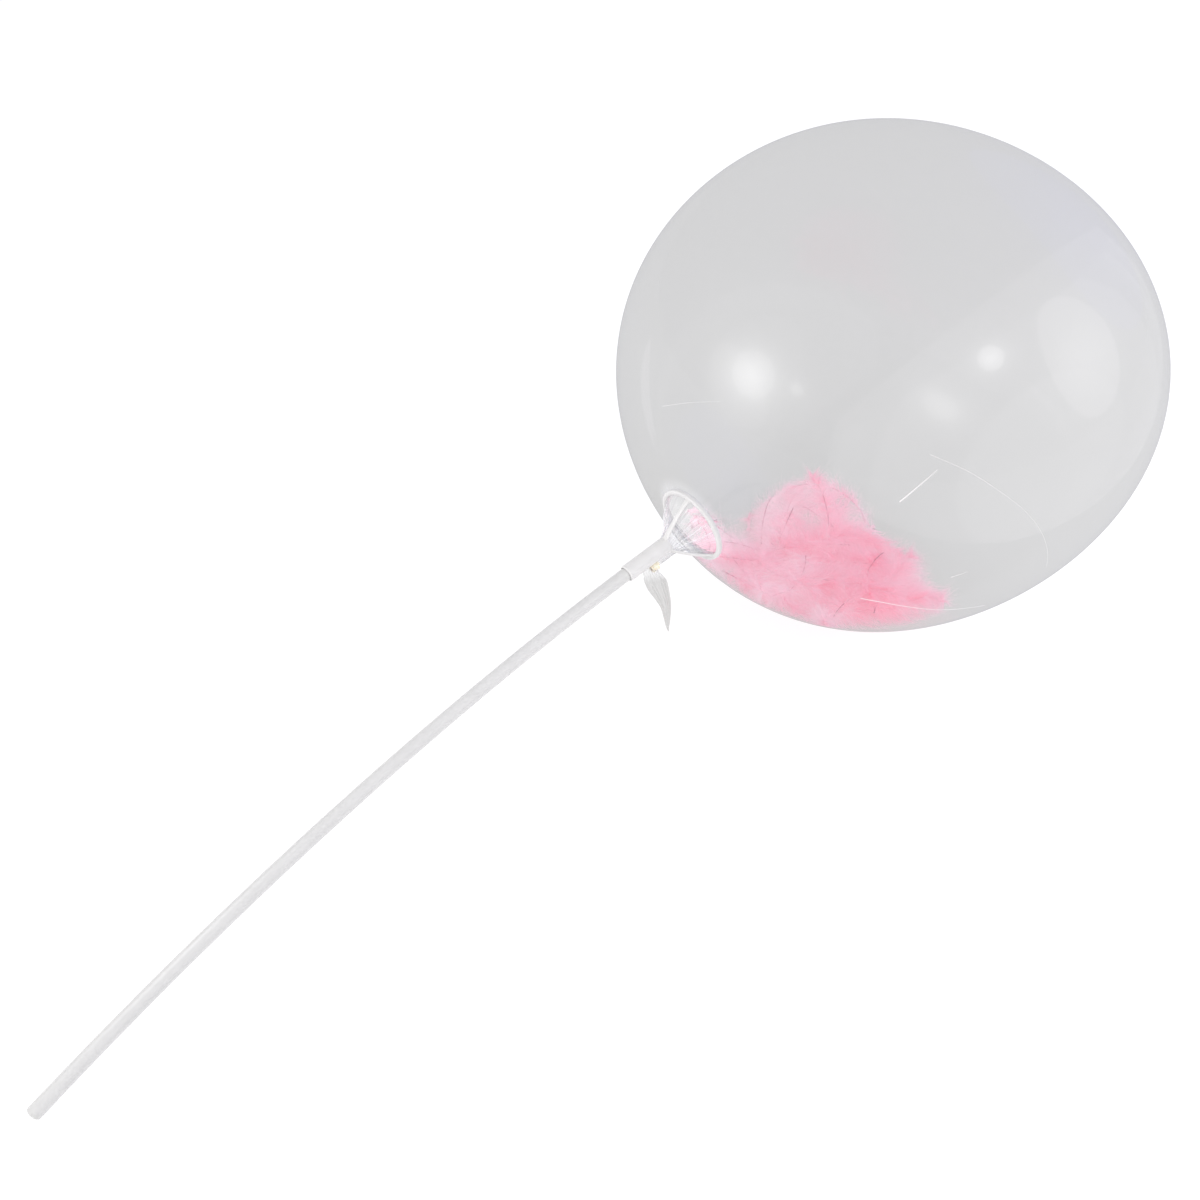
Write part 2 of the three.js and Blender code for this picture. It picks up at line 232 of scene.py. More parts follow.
def filmFinish():
    look = filmLook
    finish = newFinish("clear_film")
    facing = finish.node("ShaderNodeLayerWeight", {}, {"Blend": 0.5}, "Facing")
    gathered = finish.attribute("gathered")
    crease = finish.attribute("crease")
    haze = finish.noise(look["hazeScale"], 4.0, 0.6)
    wave = finish.noise(look["waveScale"], 1.0, 0.4)
    normal = finish.bump(wave, look["waveStrength"], look["waveDepth"])
    clear = finish.node("ShaderNodeBsdfTransparent", {}, {"Color": look["passing"]})
    edge = finish.node("ShaderNodeBsdfTransparent", {}, {"Color": look["passingAtEdge"]})
    thin = finish.node("ShaderNodeBsdfTransparent", {}, {"Color": look["passingGathered"]})
    through = finish.mixed(facing ** look["edgePower"], clear, edge)
    through = finish.mixed(gathered, through, thin)
    # painted sheen and glints: a white diffuse and translucent layer mixed in on gathered film and on its
    # creases
    front = finish.node("ShaderNodeBsdfDiffuse", {}, {"Color": look["paintedSheen"]})
    back = finish.node("ShaderNodeBsdfTranslucent", {}, {"Color": look["paintedSheen"]})
    paintedSheen = finish.mixed(0.5, front, back)
    through = finish.mixed(gathered * look["paintedSheenGathered"] + crease * look["paintedGlintCrease"], through, paintedSheen)
    sharp = finish.node("ShaderNodeBsdfGlossy", {}, {"Roughness": look["sharpness"], "Normal": normal})
    soft = finish.node("ShaderNodeBsdfGlossy", {}, {"Roughness": look["softness"], "Normal": normal})
    gloss = finish.mixed(look["softShare"], sharp, soft)
    share = look["gloss"] + (look["glossAtEdge"] - look["gloss"]) * facing ** look["glossPower"]
    share = share + (haze - 0.5) * look["haze"]
    share = share + (look["glossGathered"] - look["gloss"]) * gathered
    return finish.end(finish.mixed(share, through, gloss))


plasticLook = {
    "moulded_white": {
        "colour": (0.655, 0.645, 0.645, 1),
        "shade": (0.605, 0.595, 0.595, 1),
        "roughness": 0.38,
        "cloudScale": 60.0,
    },
    "drawn_white": {
        "colour": (0.575, 0.57, 0.57, 1),
        "shade": (0.54, 0.535, 0.535, 1),
        "roughness": 0.34,
        "cloudScale": 30.0,
    },
}


def plasticFinish(name):
    # milky moulded or drawn plastic, faintly mottled
    look = plasticLook[name]
    finish = newFinish(name)
    cloud = finish.noise(look["cloudScale"], 4.0, 0.55)
    grain = finish.noise(look["cloudScale"] * 14, 3.0, 0.6)
    return finish.end(finish.node("ShaderNodeBsdfPrincipled", {}, {
        "Base Color": finish.blend(cloud, look["colour"], look["shade"]),
        "Roughness": look["roughness"] + (cloud - 0.5) * 0.12 + (grain - 0.5) * 0.08,
        "Normal": finish.bump(grain, 0.12, 0.0002),
        "Subsurface Weight": 0.5,
        "Subsurface Radius": (0.6, 0.6, 0.6),
        "Subsurface Scale": 0.004,
        "IOR": 1.48,
    }))


bandLook = {
    "colour": (0.90, 0.81, 0.63, 1),
    "shade": (0.94, 0.90, 0.79, 1),
    "roughness": 0.5,
    "cloudScale": 420.0,
    "grainScale": 1800.0,
}


def bandFinish():
    # natural latex, mottled from cream to paler cream
    look = bandLook
    finish = newFinish("latex_band")
    cloud = finish.noise(look["cloudScale"], 4.0, 0.6)
    grain = finish.noise(look["grainScale"], 3.0, 0.6)
    return finish.end(finish.node("ShaderNodeBsdfPrincipled", {}, {
        "Base Color": finish.blend(cloud, look["colour"], look["shade"]),
        "Roughness": look["roughness"] + (cloud - 0.5) * 0.2,
        "Normal": finish.bump(grain, 0.25, 0.0002),
        "Subsurface Weight": 0.2,
        "Subsurface Radius": (0.8, 0.5, 0.3),
        "Subsurface Scale": 0.002,
    }))


downLook = {
    "root": (0.95, 0.47, 0.59, 1),
    "tip": (0.96, 0.70, 0.78, 1),
    "pale": (0.95, 0.88, 0.91, 1),
    "patchScale": 22.0,
    "patchShare": 2.2,  # how fast a feather's pale patches grow, and what is taken off them
    "patchLess": 0.35,
    "roughness": 0.75,
    "through": 0.45,
    "throughColour": (0.96, 0.70, 0.79, 1),
    "glow": 0.25,  # painted light: the down glows in its own colour, standing in for light that real down passes on from barb to barb
}


def downFinish():
    look = downLook
    finish = newFinish("pink_down")
    patch = finish.noise(look["patchScale"], 3.0, 0.6)
    barb = finish.blend(finish.attribute("along"), look["root"], look["tip"])
    paleness = finish.attribute("lot") * (patch * look["patchShare"] - look["patchLess"])
    colour = finish.blend(paleness, barb, look["pale"])
    body = finish.node("ShaderNodeBsdfPrincipled", {}, {
        "Base Color": colour,
        "Roughness": look["roughness"] + (patch - 0.5) * 0.2,
        "Specular IOR Level": 0.2,
        # painted light: the down glows by its look's glow
        "Emission Color": colour,
        "Emission Strength": look["glow"],
    })
    passed = finish.node("ShaderNodeBsdfTranslucent", {}, {"Color": look["throughColour"]})
    return finish.end(finish.mixed(look["through"], body, passed))


quillLook = {
    "pink_quill": {"colour": (0.74, 0.42, 0.50, 1), "shade": (0.60, 0.30, 0.40, 1), "glow": 0.0},
    # painted light: the white quill and the strands glow, so that they look white through the film
    "white_quill": {"colour": (0.95, 0.94, 0.94, 1), "shade": (0.85, 0.84, 0.85, 1), "glow": 0.45},
}


def quillFinish(name):
    look = quillLook[name]
    finish = newFinish(name)
    cloud = finish.noise(160.0, 3.0, 0.6)
    return finish.end(finish.node("ShaderNodeBsdfPrincipled", {}, {
        "Base Color": finish.blend(cloud, look["colour"], look["shade"]),
        "Roughness": 0.4 + (cloud - 0.5) * 0.2,
        "Coat Weight": 0.2,
        # painted light: a quill glows by its look's glow
        "Emission Color": look["colour"],
        "Emission Strength": look["glow"],
    }))


film = filmFinish()
socketPlastic = plasticFinish("moulded_white")
tubePlastic = plasticFinish("drawn_white")
latex = bandFinish()
down = downFinish()
pinkQuill = quillFinish("pink_quill")
whiteQuill = quillFinish("white_quill")
print("materials made")


# Bubble: one skin from the crown, over the bulb, through the ring and the tie to the end of the tail

bulb = {
    "centreHeight": 0.255086,
    "neckSlope": 0.174142,  # radians, the neck's axis against the floor
    "halfSize": (0.2771, 0.2787, 0.2529),
    "poleSwell": (-0.0466, -0.0282, -0.0196),
    "cornerSwell": -0.0122,
    "cornerAxis": (-0.705, -0.437, 0.557),
    "cornerTurn": 0.4246,
    "shoulder": 0.0065,
    "shoulderOrder": 12,
    "meanRadius": 0.26,
    "neckSideRadius": 0.27,
    "hubDistance": 0.262,  # from the bulb's middle to the cup's ring
    "leanFrom": 0.3,  # radians from the crown over which the rings lean towards the cup's own middle
    "leanOver": 0.9,
    "around": 224,
    "rings": 120,
    "ringCrowding": 1.25,  # above 1, rings of points lie closer near the neck
    "ringAngle": 0.1475,  # from the neck's pole out to the cup's ring
    "floorEase": 0.0012,
    "floorGap": 0.0002,
}
cup = {
    "hub": (-0.295152, -0.0045, 0.198796),
    "aside": -0.0045,
    "drop": 0.0043,
    "depth": 0.0338,
    "ringRadius": 0.0388,
    "ringHalfWidth": 0.00247,
    "ringHalfHeight": 0.002832,
    "ringSquareness": 0.7,
    "ringSides": 20,
    "ringSteps": 144,
    "socketRadius": 0.00835,
    "socketLength": 0.054,
    "socketSteps": 72,
    "boreRadius": 0.0070,
    "boreEase": 0.0002,
    "stopRadius": 0.0048,
    "stopAt": 0.0287,  # from the socket's mouth
    "endWall": 0.003,
    "rim": 0.0009,
    "axisGap": 0.0007,
    "swellAtMouth": 0.00025,
    "armTurns": (90, 210, 330),
    "armStations": 25,
    "armSides": 16,
    "armSquareness": 0.6,
    "armWidth": 0.0046,
    "armThickness": 0.0022,
    "armBow": 0.0026,
    "armRoot": 0.002,
    "armFlare": 0.0012,
    "gapTurn": 270,
    "waistTurn": 255,
    "voxel": 0.00042,
}
neck = {
    "mouthRadius": 0.0345,
    "throatRadius": 0.0048,
    "runRadius": 0.0037,
    "waistRadius": 0.0024,
    "waistBack": 0.022,
    "waistLength": 0.0070,
    "waistOffset": 0.01295,
    "pleats": 19,
    "smallPleats": 43,
    "lipRise": 0.0021,  # how far the film stands over the ring, and how far inside it
    "lipInset": 0.0026,
    "mouthDrop": 0.0005,
    "mouthPleats": (0.012, 0.035),
    "funnel": (  # share of the cup's depth, way down from its middle, half width, depth of pleats
        (0.8, 0.0008, 0.0290, 0.06),
        (0.55, 0.0028, 0.0232, 0.085),
        (0.32, 0.0048, 0.0153, 0.11),
        (0.15, 0.0088, 0.0098, 0.13),
    ),
    "throatShare": 0.02,
    "throatGap": 0.0058,  # from the socket's wall to the middle of the film
    "runShare": -0.27,
    "runGap": 0.0049,
    "gatheredPleats": (0.11, 0.12, 0.08),  # at the throat, along the socket and in the tie
    "wrinkle": 0.00055,
    "wrinkleReach": 0.045,
    "wrinkleStart": 0.02,
    "lip": 0.0007,  # the film bulges a little where it turns in over the ring
    "lipWidth": 0.003,
    "creaseFrom": 0.35,
    "stations": 150,
    "tailRing": 74,  # about where the film comes out of the tie
    "tailEase": 12,
    "mouthEase": 6,
}
tail = {
    "length": 0.072,
    "width": 0.021,
    "thickness": 0.0026,
    "spread": (0.77, -0.64, 0.0),
    "ripple": 0.0009,
    "rippleLength": 0.03,
    "ripples": ((1.0, 7.5, 0.9, 0.0), (0.6, 13, -0.5, 1.0)),  # height, waves across, waves along, start
    "flattening": 0.45,
    "pleat": 0.05,
    "turnedBy": 0.2,  # share of the length over which the film turns from level to spread
    "stations": (  # shares of the length: down, back, aside; then width, thickness and fold
        (0.015, 0.03, 0.012, 0.66, 1.7, 0.1),
        (0.04, 0.04, 0.036, 1.02, 1.5, 0.25),
        (0.075, 0.034, 0.066, 1.10, 1.3, 0.5),
        (0.22, 0.004, 0.13, 1.02, 1.0, 0.9),
        (0.37, -0.008, 0.232, 0.78, 1.0, 1.0),
        (0.51, -0.01, 0.312, 0.54, 0.9, 0.9),
        (0.71, -0.005, 0.362, 0.33, 0.85, 0.7),
        (0.86, 0.0, 0.39, 0.17, 0.7, 0.4),
        (0.945, 0.0, 0.412, 0.04, 0.4, 0.2),
    ),
}

slope = bulb["neckSlope"]
neckWay = np.array((math.cos(slope), 0.0, math.sin(slope)))
upWay = np.array((-math.sin(slope), 0.0, math.cos(slope)))
levelWay = np.array((0.0, 1.0, 0.0))
bulbCentre = np.array((0.0, 0.0, bulb["centreHeight"]))
halfSize = np.array(bulb["halfSize"])
cornerWay = unit(bulb["cornerAxis"])
cornerLevel = unit(np.cross(cornerWay, (0.0, 0.0, 1.0)))
cornerSlant = np.cross(cornerWay, cornerLevel)
hub = np.array(cup["hub"])


def swellAt(way):
    along = way @ neckWay
    second, third, fourth = bulb["poleSwell"]
    poles = (
        second * (1.5 * along**2 - 0.5)
        + third * (2.5 * along**3 - 1.5 * along)
        + fourth * (4.375 * along**4 - 3.75 * along**2 + 0.375)
    )
    level, slanted = way @ cornerLevel, way @ cornerSlant
    turn = np.arctan2(slanted, level)
    corners = bulb["cornerSwell"] * np.hypot(level, slanted) ** 3 * np.cos(3 * (turn - bulb["cornerTurn"]))
    shoulder = bulb["shoulder"] * ((1 - along) / 2) ** bulb["shoulderOrder"]
    return 1 + poles + corners + shoulder


def filmAt(way):
    return bulbCentre + way * halfSize * swellAt(way)[..., None]


def insideFilm(points, gap):
    # moves points that stick out of the bulb back to its inner side
    offset = points - bulbCentre
    reach = np.linalg.norm(offset / halfSize, axis=-1)
    way = offset / halfSize / reach[..., None]
    limit = swellAt(way) - gap / bulb["meanRadius"]
    held = bulbCentre + offset * np.minimum(1, limit / reach)[..., None]
    held[..., 2] = np.maximum(held[..., 2], gap + bulb["floorGap"])
    return held


def cupPoint(forward, outward=0.0, degrees=0.0):
    turn = math.radians(degrees)
    return hub + neckWay * forward + outward * (levelWay * math.cos(turn) + upWay * math.sin(turn))


def pleatWave(turn, count, seed):
    # sharp valleys and round ridges, with uneven spacing
    random = np.random.RandomState(seed)
    bend = sum(random.uniform(0.1, 0.35) * np.sin(k * turn + random.uniform(0, 6.28)) for k in (1, 2, 3))
    height = 0.75 + 0.25 * np.sin(3 * turn + random.uniform(0, 6.28))
    return height * (2 * np.abs(np.sin((count * turn + 2.2 * bend) / 2)) - 1.2)


def allPleats(turn):
    return pleatWave(turn, neck["pleats"], 3) + 0.5 * pleatWave(turn, neck["smallPleats"], 4)


def spokes(turn):
    # ways out from the neck's axis
    return levelWay * np.cos(turn)[:, None] + upWay * np.sin(turn)[:, None]


def bulbRings(turn):
    rings = []
    offset = levelWay * cup["aside"] - upWay * cup["drop"]
    side = spokes(turn)
    wave = allPleats(turn)
    steps = np.linspace(0, 1, bulb["rings"])
    angles = math.pi - (math.pi - bulb["ringAngle"]) * (1 - (1 - steps) ** bulb["ringCrowding"])
    for angle in angles[1:]:
        shift = 1 - min(max((angle - bulb["leanFrom"]) / bulb["leanOver"], 0), 1) ** 0.5
        way = unit(-neckWay * math.cos(angle) + side * math.sin(angle) + offset / bulb["hubDistance"] * shift)
        ring = filmAt(way)
        apart = bulb["neckSideRadius"] * angle - cup["ringRadius"]
        wrinkle = neck["wrinkle"] * math.exp(-max(apart, 0) / neck["wrinkleReach"])
        wrinkle = wrinkle * min(1, 0.3 + abs(apart) / neck["wrinkleStart"])
        ring = ring + (wave * wrinkle)[:, None] * way
        ring = ring + neckWay * neck["lip"] * math.exp(-((apart / neck["lipWidth"]) ** 2))
        rings.append(ring)
    return rings


def neckStations():
    depth, radius = cup["depth"], cup["socketRadius"]
    middle = (cup["gapTurn"] + cup["waistTurn"]) / 2
    lipPleat, mouthPleat = neck["mouthPleats"]
    throatPleat, runPleat, waistPleat = neck["gatheredPleats"]
    throat = cupPoint(depth * neck["throatShare"], radius + neck["throatGap"], cup["gapTurn"])
    run = cupPoint(depth * neck["runShare"], radius + neck["runGap"], middle)
    places = [
        (cupPoint(depth + neck["lipRise"]), cup["ringRadius"] - neck["lipInset"], lipPleat),
        (cupPoint(depth - neck["mouthDrop"]), neck["mouthRadius"], mouthPleat),
    ]
    for share, down, half, pleat in neck["funnel"]:
        places.append((cupPoint(depth * share, down, cup["gapTurn"]), half, pleat))
    places += [(throat, neck["throatRadius"], throatPleat), (run, neck["runRadius"], runPleat)]
    for end in (neck["waistLength"] / 2, -neck["waistLength"] / 2):
        at = cupPoint(-neck["waistBack"] + end, neck["waistOffset"], cup["waistTurn"])
        places.append((at, neck["waistRadius"], waistPleat))
    return [
        {"at": at, "half": half, "thick": half, "wide": levelWay, "pleat": pleat, "fold": 0.0}
        for at, half, pleat in places
    ]


def tailStations():
    start = cupPoint(-neck["waistBack"] - neck["waistLength"] / 2, neck["waistOffset"], cup["waistTurn"])
    across = -unit(tail["spread"])
    rows = []
    for drop, back, lean, width, thick, fold in tail["stations"]:
        turned = min(drop / tail["turnedBy"], 1)
        rows.append({
            "at": start + np.array((-back, -lean, -drop)) * tail["length"],
            "half": width * tail["width"] / 2,
            "thick": thick * tail["thickness"] / 2,
            "wide": unit(levelWay * (1 - turned) + across * turned),
            "pleat": tail["pleat"] * (1 - turned),
            "fold": fold,
        })
    return rows


def gatheredRings(turn):
    rows = neckStations() + tailStations()
    places = np.array([row["at"] for row in rows])
    knots = np.concatenate([[0], np.cumsum(np.linalg.norm(np.diff(places, axis=0), axis=1))])
    count = neck["stations"]
    at = np.linspace(0, knots[-1], count)
    centres = smoothCurve(knots, places, at)
    ways = unit(np.gradient(centres, axis=0))
    wides = smoothCurve(knots, [row["wide"] for row in rows], at)
    halves, thicks, pleats, folds = (
        smoothCurve(knots, [row[key] for row in rows], at) for key in ("half", "thick", "pleat", "fold")
    )
    wave = allPleats(turn)
    rings = []
    for index in range(count):
        wide = unit(wides[index] - ways[index] * (wides[index] @ ways[index]))
        over = np.cross(wide, ways[index])
        across = halves[index] * np.cos(turn) * (1 + pleats[index] * wave)
        out = thicks[index] * np.sin(turn) * (1 + pleats[index] * wave)
        share = across / max(halves[index], 1e-6)
        along = at[index] / tail["rippleLength"]
        ripple = sum(
            height * np.sin(sideWaves * share + longWaves * along + start)
            for height, sideWaves, longWaves, start in tail["ripples"]
        )
        out = out * (1 - tail["flattening"] * folds[index]) + tail["ripple"] * folds[index] * ripple
        rings.append(centres[index] + across[:, None] * wide + out[:, None] * over)
    return rings


def easeOntoFloor(points):
    ease = bulb["floorEase"]
    points[:, 2] = 0.5 * (points[:, 2] + np.sqrt(points[:, 2] ** 2 + ease**2))
    return points


turnAround = fullTurn(bulb["around"])
skinRings = bulbRings(turnAround) + gatheredRings(turnAround)
skinPoints = easeOntoFloor(np.concatenate(skinRings + [filmAt(neckWay)[None]]))
skinFaces = gridFaces(len(skinRings), bulb["around"])
crown = len(skinPoints) - 1
skinFaces += [[crown, (side + 1) % bulb["around"], side] for side in range(bulb["around"])]
bubble = meshPiece("film_bubble", skinPoints, skinFaces, film, "film")
ringIndex = np.arange(len(skinRings)) - bulb["rings"] + 1
intoNeck = np.clip((ringIndex + neck["mouthEase"]) / (neck["mouthEase"] + 1), 0, 1)  # from bulb to funnel
intoTail = np.clip((ringIndex - neck["tailRing"]) / neck["tailEase"], 0, 1)
gathered = np.append(np.repeat(intoNeck * (1 - 0.8 * intoTail), bulb["around"]), 0)
creases = np.clip(allPleats(turnAround) - neck["creaseFrom"], 0, 1)
creases = creases[None] * (intoNeck * (1 - intoTail))[:, None]
for key, values in (("gathered", gathered), ("crease", np.append(creases.ravel(), 0))):
    layer = bubble.data.attributes.new(key, "FLOAT", "POINT")
    layer.data.foreach_set("value", values.astype(np.float32))
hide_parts("bubble")
print("bubble made")


# Cup: ring, three arms and socket, melted into one moulding

def latheSolid(profile, sides):
    # a closed profile of (outward, forward) pairs, spun about the cup's axis
    side = spokes(fullTurn(sides))
    rings = [hub + neckWay * forward + side * outward for outward, forward in profile]
    count = len(rings)
    faces = []
    for ring in range(count):
        for spoke in range(sides):
            following = (spoke + 1) % sides
            onward = (ring + 1) % count
            faces.append([
                ring * sides + spoke,
                onward * sides + spoke,
                onward * sides + following,
                ring * sides + following,
            ])
    return np.concatenate(rings), faces


def ringProfile():
    across, along = squarish(fullTurn(cup["ringSides"]), cup["ringSquareness"])
    return np.stack([
        cup["ringRadius"] + cup["ringHalfWidth"] * across,
        cup["depth"] + cup["ringHalfHeight"] * along,
    ], -1)


def socketProfile():
    outer, rim, length = cup["socketRadius"], cup["rim"], cup["socketLength"]
    mouth = -length
    stop = mouth + cup["stopAt"]
    return [
        (cup["axisGap"], 0.0),
        (outer - rim, 0.0),
        (outer, -rim),
        (outer, -length * 0.5),
        (outer + cup["swellAtMouth"], mouth + rim),
        (outer - rim * 0.5, mouth),
        (cup["boreRadius"] + cup["boreEase"], mouth),
        (cup["boreRadius"], stop),
        (cup["stopRadius"], stop),
        (cup["stopRadius"], -cup["endWall"]),
        (cup["axisGap"], -cup["endWall"]),
    ]


def armSolid(degrees):
    turn = math.radians(degrees)
    sideways = -levelWay * math.sin(turn) + upWay * math.cos(turn)
    outwards = levelWay * math.cos(turn) + upWay * math.sin(turn)
    foot = cup["socketRadius"] - cup["armThickness"] / 2
    shares = np.linspace(0, 1, cup["armStations"])
    outward = foot + (cup["ringRadius"] - foot) * shares + cup["armBow"] * np.sin(math.pi * shares)
    forward = -cup["armRoot"] + (cup["depth"] + cup["armRoot"]) * shares
    runs = unit(np.stack([np.gradient(outward), np.gradient(forward)], -1))
    flatwise, upwards = squarish(fullTurn(cup["armSides"]), cup["armSquareness"])
    rings = []
    for out, ahead, run, share in zip(outward, forward, runs, shares):
        flare = cup["armFlare"] * ((1 - share) ** 4 + share**6)
        across = (cup["armWidth"] / 2 + flare) * flatwise
        over = cup["armThickness"] / 2 * upwards
        rings.append(
            hub
            + neckWay * (ahead - over * run[0])[:, None]
            + outwards * (out + over * run[1])[:, None]
            + sideways * across[:, None]
        )
    return closedTube(rings)


def meltTogether(name, solids, material, voxel):
    points, faces = [], []
    for solidPoints, solidFaces in solids:
        start = sum(len(part) for part in points)
        points.append(solidPoints)
        faces += [[corner + start for corner in face] for face in solidFaces]
    rough = meshPiece(name + "_rough", np.concatenate(points), faces, material)
    remesh = rough.modifiers.new("melt", "REMESH")
    remesh.mode = "VOXEL"
    remesh.voxel_size = voxel
    smooth = rough.modifiers.new("soften", "SMOOTH")
    smooth.factor = 0.5
    smooth.iterations = 2
    shape = rough.evaluated_get(bpy.context.evaluated_depsgraph_get())
    mesh = bpy.data.meshes.new_from_object(shape)
    mesh.name = name
    bpy.data.objects.remove(rough)
    mesh.shade_smooth()
    piece = bpy.data.objects.new(name, mesh)
    bpy.context.scene.collection.objects.link(piece)
    if not mesh.materials:
        mesh.materials.append(material)
    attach(piece, "root")
    return piece


cupSolids = [latheSolid(ringProfile(), cup["ringSteps"]), latheSolid(socketProfile(), cup["socketSteps"])]
cupSolids += [armSolid(degrees) for degrees in cup["armTurns"]]
holder = meltTogether("holder_cup", cupSolids, socketPlastic, cup["voxel"])
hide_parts("cup")
print("cup made:", len(holder.data.polygons), "faces")


# Tube: hollow, with one long bend and square-cut ends

tube = {
    "length": 0.700,
    "inserted": 0.028,
    "radius": 0.0067,
    "wall": 0.0012,
    "bendRadius": 3.070,
    "bendYaw": -20.2,
    "sides": 56,
    "steps": 130,
    "edge": 0.00025,
}


def tubePlaces(shares):
    yaw = math.radians(tube["bendYaw"])
    bendTo = -upWay * math.cos(yaw) + levelWay * math.sin(yaw)
    start = hub - neckWay * (cup["socketLength"] - tube["inserted"])
    run = shares * tube["length"]
    bent = np.maximum(run - tube["inserted"], 0) / tube["bendRadius"]
    forward = np.minimum(run, tube["inserted"]) + tube["bendRadius"] * np.sin(bent)
    side = tube["bendRadius"] * (1 - np.cos(bent))
    return start - neckWay * forward[:, None] + bendTo * side[:, None]


def tubeMesh():
    shares = np.linspace(0, 1, tube["steps"])
    outer, inner, edge = tube["radius"], tube["radius"] - tube["wall"], tube["edge"] / tube["length"]
    runs = np.concatenate([[0], [edge], shares[1:-1], [1 - edge], [1]])
    path = tubePlaces(runs)
    widths = [outer - tube["edge"]] + [outer] * (len(runs) - 2) + [outer - tube["edge"]]
    outside = sweepRings(path, lambda share: circle(widths[round(share * (len(runs) - 1))], tube["sides"]))
    inside = sweepRings(path, lambda share: circle(inner, tube["sides"]))
    rings = outside + inside[::-1]
    faces = gridFaces(len(rings), tube["sides"])
    last = (len(rings) - 1) * tube["sides"]
    for side in range(tube["sides"]):
        following = (side + 1) % tube["sides"]
        faces.append([last + side, last + following, following, side])
    return np.concatenate(rings), faces


bentTube = meshPiece("bent_tube", *tubeMesh(), tubePlastic, "tube")
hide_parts("stick")
print("tube made")


# Tie: a latex band wound round the neck, its end tucked under

band = {
    "turns": 5.3,
    "radius": 0.0040,
    "thickness": 0.0010,
    "length": 0.0088,
    "outward": 0.0007,  # how far its middle lies from the neck's own, away from the socket
    "wander": 0.0002,
    "swell": 0.00018,
    "tuck": 0.0006,  # how far the ends dive under, over one part in so many of the length
    "tuckParts": 14,
    "steps": 260,
    "sides": 12,
}


def bandMesh():
    share = np.linspace(0, 1, band["steps"])
    angle = share * band["turns"] * 2 * math.pi + 0.6
    middle = -neck["waistBack"]
    forward = middle + band["length"] * (share - 0.5) + band["wander"] * np.sin(angle * 1.7)
    ends = sum(np.clip(1 - apart * band["tuckParts"], 0, 1) for apart in (share, 1 - share))
    radius = band["radius"] + band["swell"] * np.sin(angle * 0.83 + 1.0) - band["tuck"] * ends
    centre = cupPoint(0.0, neck["waistOffset"] + band["outward"], cup["waistTurn"])
    path = centre + neckWay * forward[:, None] + spokes(angle) * radius[:, None]
    return closedTube(sweepRings(path, lambda share: circle(band["thickness"], band["sides"]) * (
        0.55 + 0.45 * min(1, 16 * share, 16 * (1 - share))
    )))


tie = meshPiece("wound_tie", *bandMesh(), latex, "tie")
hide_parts("neck_tie")
print("tie made")


# Feathers: pink down heaped on the bottom of the bulb

heap = {
    "lobes": {  # broad lower heap, thinner peak behind it, skirt towards the neck and tuft behind the ring
        "low": {
            "centre": (-0.050, -0.046), "reach": (0.103, 0.123), "height": 0.046, "power": 3.0,
            "feathers": 15, "barbs": 2800, "paleness": 0.7,
        },
        "peak": {
            "centre": (0.003, 0.040), "reach": (0.084, 0.064), "height": 0.066, "power": 1.5,
            "feathers": 7, "barbs": 1300, "paleness": 3.2,
        },
        "side": {
            "centre": (-0.128, -0.002), "reach": (0.070, 0.080), "height": 0.034, "power": 2.0,
            "feathers": 7, "barbs": 1500, "paleness": 1.2,
        },
        "tuft": {
            "centre": (-0.128, 0.076), "reach": (0.034, 0.030), "height": 0.012, "power": 1.5,
            "feathers": 2, "barbs": 600, "paleness": 1.2,
        },
    },
    "edgePower": 0.6,
    "footing": 0.006,  # least height of the heap over the film
    "stray": 0.50,  # how far down that leaves the heap still sticks out of it
    "quillLength": (0.10, 0.15),
    "quillRadius": 0.0006,
    "quillStations": 26,
    "quillHeight": 0.004,  # over the film, its waves up and down, and its distance from the wall
    "quillWave": 0.003,
    "quillGap": 0.0015,
    "spread": 0.8,  # how near to a lobe's rim feathers have their middles
    "goldenTurn": 2.39996,
    "barbLength": 0.050,
    "barbWidth": 0.00032,
    "barbStations": 5,
    "clumps": 34,
    "wisps": 0.05,  # share of barbs that are half as long again
    "lean": (35, 80),  # degrees between a barb and its quill
    "rise": (0.1, 0.45),  # mean and scatter
    "unevenness": (0.55, 1.1),
    "curl": (0.1, 0.5),
    "droop": 0.25,
    "crinkle": 0.0012,
    "loneBarbs": 1500,
    "lonePaleness": 0.6,
    "filmGap": 0.0008,
    "floorGap": 0.0012,
    "seed": 12,
}
loneFeathers = {
    "feather_tip": {
        "start": (0.0, 0.01), "heading": 0.95, "length": 0.085, "bend": 0.2, "lift": 0.022, "barb": 0.026,
    },
    "feather_by_neck": {
        "start": (-0.085, 0.0), "heading": 2.75, "length": 0.125, "bend": -0.3, "lift": 0.004, "barb": 0.034,
    },
    "feather_at_wall": {
        "start": (-0.07, -0.10), "heading": 3.3, "length": 0.12, "bend": 0.5, "lift": 0.004, "barb": 0.040,
    },
}


def floorOf(places):
    # height of the bulb's inner side under each place
    low = np.zeros(len(places))
    high = np.full(len(places), bulb["centreHeight"])
    for step in range(12):
        middle = (low + high) / 2
        points = np.concatenate([places[:, :2], middle[:, None]], 1)
        offset = (points - bulbCentre) / halfSize
        reach = np.linalg.norm(offset, axis=1)
        outside = reach > swellAt(offset / reach[:, None])
        low = np.where(outside, middle, low)
        high = np.where(outside, high, middle)
    return low


def inLobe(places, lobe):
    # place across a lobe of the heap, 1 at its rim
    return (places[:, :2] - np.array(lobe["centre"])) / np.array(lobe["reach"])


def heapHeight(places):
    heights = []
    for lobe in heap["lobes"].values():
        apart = np.linalg.norm(inLobe(places, lobe), axis=1)
        heights.append(lobe["height"] * np.clip(1 - apart ** lobe["power"], 0, 1) ** heap["edgePower"])
    return np.max(heights, axis=0)


